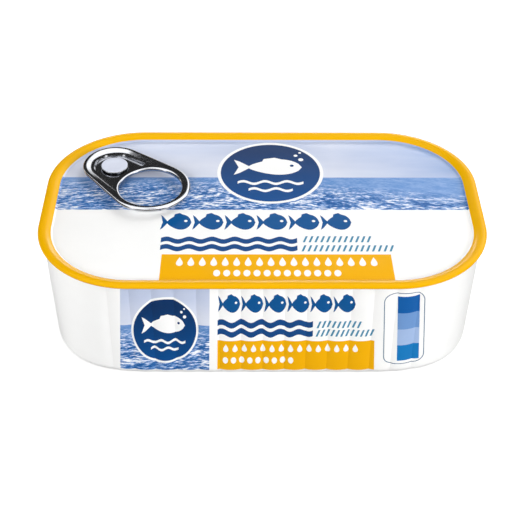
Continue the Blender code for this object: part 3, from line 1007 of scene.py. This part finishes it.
def sea_ink(colours, up_axis, horizon, shore):
    """Open sea seen low over the water: streaks that grow and part towards the shore, with white glints."""
    def paint(tree):
        _, across, up = place_nodes(tree, up_axis)
        near = map_range(tree, up, horizon, shore)
        # Ripples spread out as they near the shore, where they are about 1.8 mm long.
        spread = calculate(tree, 'ADD', near, 0.6)
        fan = calculate(tree, 'MULTIPLY', calculate(tree, 'DIVIDE', across, spread), 0.9)
        depth = calculate(tree, 'MULTIPLY', calculate(tree, 'LOGARITHM', spread, math.e), 45.0)
        place = add_node(tree, 'ShaderNodeCombineXYZ', {0: fan, 1: depth}).outputs[0]
        waves = noise(tree, place, 1.0, 4.0, roughness=0.6, distortion=0.2)
        swell = noise(tree, place, 0.22, 1.0)
        level = calculate(tree, 'SUBTRACT', calculate(tree, 'MULTIPLY_ADD', swell, 0.5, waves), 0.25)
        far = ramp(tree, level, (0.38, colours.sea_mid), (0.72, colours.sea_far))
        close = ramp(tree, level, (0.42, colours.sea_deep), (0.49, colours.sea_mid),
                     (0.55, colours.sea_far), (0.62, colours.glint))
        # The water lies calmer towards the right.
        calm = map_range(tree, across, -5.0, 45.0, 0.0, 0.45)
        share = map_range(tree, calculate(tree, 'SUBTRACT', near, calm), 0.0, 0.4)
        return blend(tree, share, far, close)
    return paint


def polished_steel(name, colour):
    """Tinned steel sheet, stamped and polished by the press: a dark mirror with bright rolled edges.

    Rolling leaves faint lines along the sheet, and its colour is a little cloudy.
    """
    material, tree, shader, where = new_surface(name, 1.0)
    low = tuple(channel * 0.9 for channel in colour)
    high = tuple(min(1.0, channel * 1.08) for channel in colour)
    tint = ramp(tree, noise(tree, where, 0.5, 3.0), (0.3, low), (0.7, high))
    tree.links.new(tint, shader.inputs["Base Color"])
    # Rolling lines about 0.15 mm apart, drawn at 0.3 mm so that they show.
    lines = noise(tree, stretch(tree, where, (0.15, 3.3, 3.3)), 1.0, 2.0)
    tree.links.new(map_range(tree, lines, 0.3, 0.7, 0.1, 0.2), shader.inputs["Roughness"])
    add_bump(tree, shader, lines, 0.1, 0.00002)
    return material


def print_materials(colours, face, names, up_axis, horizon, top, foot, badge_span):
    """The enamels of one printed face, in the order of the given ink names."""
    paints = {name: plain_ink(getattr(colours, name)) for name in PLAIN_INKS}
    paints["white"] = foot_worn(colours.white, colours.worn)
    paints["sky"] = sky_ink(colours.sky, colours.sky_blue, up_axis, horizon, top)
    paints["sea"] = sea_ink(colours, up_axis, horizon, foot)
    paints["navy"] = badge_ink(colours.navy, colours.badge_blue, up_axis, *badge_span)
    finishes = {"yellow": YELLOW_FINISH}
    return [enamel(f"enamel_{face}_{name}", paints[name], *finishes.get(name, ENAMEL_FINISH))
            for name in names]


class TIN_OT_build_body(bpy.types.Operator):
    """Build the fluted, printed body with its foot, base bead and flange."""

    bl_idname = "tin.build_body"
    bl_label = "Build Body"

    def execute(self, context):
        size = in_mm(context.scene.tin_sizes)
        inks = {name: index for index, name in enumerate(WALL_INKS)}
        builder = bmesh.new()
        runs = wall_runs(size)
        stations = strip_stations(size)
        outline = box(stations[0], runs[-1], stations[-1], runs[0])
        guides = [[(x, runs[-1]), (x, runs[0])] for x in stations[1:-1]]
        guides += [[(stations[0], run), (stations[-1], run)] for run in runs[1:-1]]
        for facing in (-1, 1):
            def place(x, run):
                height, *section = wall_state(size, run)
                return -facing * x, facing * wall_half_width(size, x, *section), height
            fill_sheet(builder, outline, guides, wall_print(), place, inks, inks["white"])
        self.add_ends(builder, size, runs)
        self.add_flange(builder, size)
        self.add_base(builder, size)
        materials = print_materials(colours_of(context), "wall", WALL_INKS, "Z", WALL_HORIZON, PRINT_TOP,
                                    PRINT_FOOT, WALL_BADGE_SPAN)
        make_piece("tin_body", builder, materials, "body_enamel", "can_body")
        return {'FINISHED'}

    def add_ends(self, builder, size, runs):
        """The plain corners and end walls, between the two printed strips."""
        for facing in (-1, 1):
            grid = []
            for run in runs:
                height, inset, fullness, _ = wall_state(size, run)
                half = with_mirror(body_end(size, inset, fullness))
                grid.append([builder.verts.new(Vector((facing * x, y, height)) * MM) for x, y in half])
            for lower, upper in zip(grid, grid[1:]):
                for index in range(len(lower) - 1):
                    builder.faces.new((lower[index], lower[index + 1], upper[index + 1], upper[index]))

    def add_flange(self, builder, size):
        """The flange under the seam, and the closed top below the lid's panel."""
        top = wall_top(size)
        floor = size.height - size.panel_drop - size.panel_thickness - size.gap
        flange_end = size.wall_top_inset + BODY_FLANGE_REACH
        rows = [raised(body_loop(size, inset, 0.0), height) for height, inset in (
            (top, size.wall_top_inset), (top, flange_end), (floor, flange_end + BODY_TOP_SLOPE))]
        builder.faces.new(add_rows(builder, rows)[-1])

    def add_base(self, builder, size):
        """The flat foot ring, and the recessed base with its bead."""
        edge = size.wall_foot_inset + size.bend_radius
        inner = edge + size.foot_width
        rows = [raised(body_loop(size, inset, 1.0), height) for height, inset in (
            (0.0, edge), (0.0, inner), (SHEET_CUT, inner + FOOT_CUT_LEAN),
            (size.base_rise - BASE_SLOPE_END, inner + size.base_rise - BASE_SLOPE_END),
            (size.base_rise, inner + size.base_rise))]
        add_rows(builder, rows)
        rim = [(x, y) for x, y, _ in rows[-1]]

        def place(x, y):
            share = limited((lid_inset(size, x, y) - size.bead_inset) / size.bead_width)
            return x, y, size.base_rise + size.bead_depth * (0.5 - 0.5 * math.cos(2.0 * math.pi * share))

        insets = [size.bead_inset + size.bead_width * step / BEAD_STEPS for step in range(BEAD_STEPS + 1)]
        guides = [closed(lid_outline(size, inset)) for inset in insets]
        fill_sheet(builder, rim, guides, [], place, {}, 0)


class TIN_OT_build_lid(bpy.types.Operator):
    """Build the seamed, printed lid with its panel and score line, and the rivet drawn up from it."""

    bl_idname = "tin.build_lid"
    bl_label = "Build Lid"

    def execute(self, context):
        size = in_mm(context.scene.tin_sizes)
        colours = colours_of(context)
        inks = {name: index for index, name in enumerate(LID_INKS)}
        yellow = inks["yellow"]
        builder = bmesh.new()
        rows = [raised(lid_outline(size, inset), height) for inset, height in seam_profile(size)]
        grid = add_rows(builder, rows, yellow)
        builder.faces.new(grid[0]).material_index = yellow
        slope = size.panel_inset - size.crest_inset
        insets = [size.crest_inset + slope * step / SLOPE_STEPS for step in range(1, SLOPE_STEPS + 1)]
        insets += [size.panel_inset + size.score_width / 2, size.panel_inset + size.score_width]
        guides = [closed(lid_outline(size, inset)) for inset in insets]

        def place(x, y):
            return x, y, lid_height(size, lid_inset(size, x, y))

        crest = lid_outline(size, size.crest_inset)
        fill_sheet(builder, crest, guides, lid_print(size), place, inks, yellow)
        materials = print_materials(colours, "lid", LID_INKS, "Y", LID_HORIZON, size.width / 2,
                                    LID_SHORE, LID_BADGE_SPAN)
        make_piece("tin_lid", builder, materials, "lid_enamel", "lid")
        self.add_rivet(size, colours)
        return {'FINISHED'}

    def add_rivet(self, size, colours):
        """The rivet: a stem with a flared root, under a flattened head with a faint dish."""
        panel = panel_height(size)
        head_high = panel + 2.0 * size.gap + size.web_thickness + size.head_thickness
        head_low = head_high - HEAD_SHEET
        profile = [(size.stem_radius + flare, panel + rise) for flare, rise in STEM_FLARE]
        profile += [(size.stem_radius, head_low), (size.head_radius - HEAD_LIP, head_low)]
        edge_centre = (size.head_radius - HEAD_ROUNDING, head_high - HEAD_ROUNDING)
        profile += arc(edge_centre, HEAD_ROUNDING, math.radians(-60.0), math.radians(150.0), HEAD_EDGE_STEPS)
        profile += [(radius, head_high - dip) for radius, dip in HEAD_DISH]
        rows = [raised(ellipse(*NOSE_CENTRE, radius, radius, RIVET_STEPS), height)
                for radius, height in profile]
        builder = bmesh.new()
        grid = add_rows(builder, rows)
        builder.faces.new(grid[0])
        builder.faces.new(grid[-1])
        for face in builder.faces:
            middle = face.calc_center_median() / MM
            on_edge = (middle.xy - NOSE_CENTRE).length > size.head_radius - HEAD_EDGE
            face.material_index = int(on_edge or middle.z < head_low + 0.01)
        materials = [enamel("enamel_rivet_sky", plain_ink(colours.sky), *ENAMEL_FINISH),
                     polished_steel("steel_rivet_stem", colours.steel)]
        make_piece("lid_rivet", builder, materials, "lid_enamel")


class TIN_OT_build_ring_pull(bpy.types.Operator):
    """Build the stamped ring-pull: rolled rim, sunken web round the rivet, and the ring."""

    bl_idname = "tin.build_ring_pull"
    bl_label = "Build Ring-Pull"

    def execute(self, context):
        size = in_mm(context.scene.tin_sizes)
        builder = bmesh.new()
        rounds = [1.0 - math.cos(0.5 * math.pi * step / ROUND_STEPS) for step in range(1, ROUND_STEPS + 1)]
        edges = [hull_loop(size, size.tab_rounding * share) for share in rounds]
        for share in rounds:
            reach = size.hole_radius + HOLE_ROLL * share
            edges.append(ellipse(*HOLE_CENTRE, reach, reach, HOLE_STEPS))
        crown = [hull_loop(size, RIM_CREST + CROWN_WIDTH * step / CROWN_STEPS)
                 for step in range(CROWN_STEPS + 1)]
        crown += [hull_loop(size, size.well_border)]
        well = [well_loop(size, WELL_SLOPE * step / 2) for step in range(3)]
        pan = [well_loop(size, -size.pan_wall - PAN_SLOPE * step / 4) for step in range(5)]
        outline = hull_loop(size, 0.0)
        finger = ellipse(*HOLE_CENTRE, size.hole_radius, size.hole_radius, HOLE_STEPS)
        stem = ellipse(*NOSE_CENTRE, STEM_ROOM, STEM_ROOM, RIVET_STEPS)
        for loops, height in ((edges + crown + well, tab_top), (edges + pan, tab_bottom)):
            def place(x, y):
                return x, y, height(size, x, y)
            guides = [closed(loop) for loop in loops]
            fill_sheet(builder, outline, guides, [], place, {}, 0, cuts=(finger, stem))
        for loop in (outline, finger, stem):
            rows = [[(x, y, height(size, x, y)) for x, y in loop] for height in (tab_bottom, tab_top)]
            add_rows(builder, rows)
        material = polished_steel("steel_ring_pull", colours_of(context).steel)
        make_piece("ring_pull", builder, [material], "tab_steel", "ring_tab")
        return {'FINISHED'}


class TIN_OT_set_stage(bpy.types.Operator):
    """Set the pale floor, the soft studio light and the camera."""

    bl_idname = "tin.set_stage"
    bl_label = "Set Stage"

    def execute(self, context):
        scene = context.scene
        self.add_floor(colours_of(context).floor)
        for light in SOFT_LIGHTS:
            self.add_light(*light)
        self.add_strip()
        self.set_world(scene)
        self.add_camera(scene)
        scene.view_settings.view_transform = 'Standard'
        return {'FINISHED'}

    def add_floor(self, colour):
        """White matt paper, which keeps a soft shadow and shows as plain white."""
        builder = bmesh.new()
        bmesh.ops.create_grid(builder, x_segments=8, y_segments=8, size=FLOOR_REACH)
        bmesh.ops.translate(builder, verts=builder.verts, vec=(0.0, 0.0, -FLOOR_GAP))
        mesh = bpy.data.meshes.new("studio_floor")
        builder.to_mesh(mesh)
        builder.free()
        material = bpy.data.materials.new("matt_paper")
        material.use_nodes = True
        tree = material.node_tree
        tree.nodes.clear()
        paper = add_node(tree, 'ShaderNodeBsdfDiffuse', {"Color": (*colour, 1.0)}).outputs[0]
        # The lights don't reach the far paper, so it glows more there and stays white.
        place = add_node(tree, 'ShaderNodeTexCoord').outputs["Object"]
        away = add_node(tree, 'ShaderNodeVectorMath', {0: place}, operation='LENGTH').outputs["Value"]
        strength = map_range(tree, away, 0.5, 1.2, 0.3, 0.9)
        light = {"Color": (*colour, 1.0), "Strength": strength}
        glow = add_node(tree, 'ShaderNodeEmission', light).outputs[0]
        lit = add_node(tree, 'ShaderNodeAddShader', {0: paper, 1: glow}).outputs[0]
        # The tin's reflections and underside see it as a greyer paper.
        shade = (FLOOR_SHADE, FLOOR_SHADE, FLOOR_SHADE, 1.0)
        dim = add_node(tree, 'ShaderNodeBsdfDiffuse', {"Color": shade}).outputs[0]
        add_node(tree, 'ShaderNodeOutputMaterial', {"Surface": camera_sees(tree, lit, dim)})
        mesh.materials.append(material)
        add_object("studio_floor", mesh)

    def add_light(self, name, place, width, power):
        """A square soft light that faces the tin."""
        data = bpy.data.lights.new(name, 'AREA')
        data.shape = 'SQUARE'
        data.size = width
        data.energy = power
        data.specular_factor = 0.0
        light = add_object(name, data)
        light.visible_glossy = False
        light.location = place
        light.rotation_euler = (-Vector(place)).to_track_quat('-Z', 'Y').to_euler()
        return light

    def add_strip(self):
        """A long bright strip low behind the tin, which only the gloss of the lid shows."""
        strip = self.add_light(*STRIP_LIGHT)
        strip.data.shape = 'RECTANGLE'
        strip.data.size_y = STRIP_HEIGHT
        strip.data.specular_factor = 1.0
        strip.visible_glossy = True
        strip.visible_diffuse = False
        shown = bpy.data.collections.new("strip_shows_on")
        shown.objects.link(bpy.data.objects["tin_lid"])
        strip.light_linking.receiver_collection = shown

    def set_world(self, scene):
        """Even pale room with dark curtains round the tin, which only reflections and light see."""
        world = bpy.data.worlds.new("studio_room")
        world.use_nodes = True
        tree = world.node_tree
        tree.nodes.clear()
        direction = add_node(tree, 'ShaderNodeTexCoord').outputs["Generated"]
        edge = math.radians(CURTAIN_EDGE)
        light = 1.0
        for angles in CURTAINS:
            turn, rise, reach = (math.radians(angle) for angle in angles)
            level = math.cos(rise)
            middle = Vector((math.sin(turn) * level, math.cos(turn) * level, math.sin(rise)))
            facing = add_node(tree, 'ShaderNodeVectorMath', {0: direction, 1: middle},
                              operation='DOT_PRODUCT').outputs[1]
            open_share = map_range(tree, facing, math.cos(reach - edge), math.cos(reach + edge),
                                   CURTAIN_LIGHT, 1.0)
            light = calculate(tree, 'MULTIPLY', light, open_share)
        in_gloss = add_node(tree, 'ShaderNodeLightPath').outputs["Is Glossy Ray"]
        strength = map_range(tree, in_gloss, 0.0, 1.0, ROOM_LIGHT, GLOSS_LIGHT)
        felt_light = calculate(tree, 'MULTIPLY', light, strength)
        white = (1.0, 1.0, 1.0, 1.0)
        seen = add_node(tree, 'ShaderNodeBackground', {"Color": white, "Strength": 1.0}).outputs[0]
        felt = add_node(tree, 'ShaderNodeBackground', {"Color": white, "Strength": felt_light}).outputs[0]
        add_node(tree, 'ShaderNodeOutputWorld', {"Surface": camera_sees(tree, seen, felt)})
        scene.world = world

    def add_camera(self, scene):
        """The camera, from the tilt, turn, roll and distance that fit the photographed rim and body."""
        right = Vector((1.0, 0.0, 0.0))
        up = Vector((0.0, math.sin(CAMERA_TILT), math.cos(CAMERA_TILT)))
        ahead = Vector((0.0, math.cos(CAMERA_TILT), -math.sin(CAMERA_TILT)))
        place = -ahead * CAMERA_DISTANCE - right * CAMERA_ACROSS - up * CAMERA_UP
        camera_right = right * math.cos(CAMERA_ROLL) + up * math.sin(CAMERA_ROLL)
        camera_up = up * math.cos(CAMERA_ROLL) - right * math.sin(CAMERA_ROLL)
        turned = Matrix.Rotation(-CAMERA_TURN, 3, 'Z')
        columns = Matrix((camera_right, camera_up, -ahead)).transposed()
        data = bpy.data.cameras.new("studio_camera")
        data.sensor_width = CAMERA_SENSOR
        data.lens = CAMERA_LENS
        data.clip_start = CAMERA_NEAR
        camera = add_object("studio_camera", data)
        crest = Vector((0.0, 0.0, scene.tin_sizes.height / MM))
        camera.matrix_world = (turned @ columns).to_4x4()
        camera.location = (turned @ place + crest) * MM
        scene.camera = camera


class TIN_PT_panel(bpy.types.Panel):
    """Sizes, colours and the steps that build the tin."""

    bl_idname = "TIN_PT_panel"
    bl_label = "Fish Tin"
    bl_space_type = 'VIEW_3D'
    bl_region_type = 'UI'
    bl_category = "Fish Tin"

    def draw(self, context):
        for step in STEPS:
            self.layout.operator(step.bl_idname)
        for group in (context.scene.tin_sizes, context.scene.tin_colours):
            column = self.layout.column(align=True)
            for key in group.__annotations__:
                column.prop(group, key)


STEPS = (TIN_OT_build_body, TIN_OT_build_lid, TIN_OT_build_ring_pull, TIN_OT_set_stage)
CLASSES = (TinSizes, TinColours, *STEPS, TIN_PT_panel)


def register():
    for item in CLASSES:
        bpy.utils.register_class(item)
    bpy.types.Scene.tin_sizes = PointerProperty(type=TinSizes)
    bpy.types.Scene.tin_colours = PointerProperty(type=TinColours)


def unregister():
    del bpy.types.Scene.tin_colours
    del bpy.types.Scene.tin_sizes
    for item in reversed(CLASSES):
        bpy.utils.unregister_class(item)


def main():
    register()
    bpy.ops.tin.build_body()
    bpy.ops.tin.build_lid()
    bpy.ops.tin.build_ring_pull()
    bpy.ops.tin.set_stage()


if __name__ == "__main__":
    main()
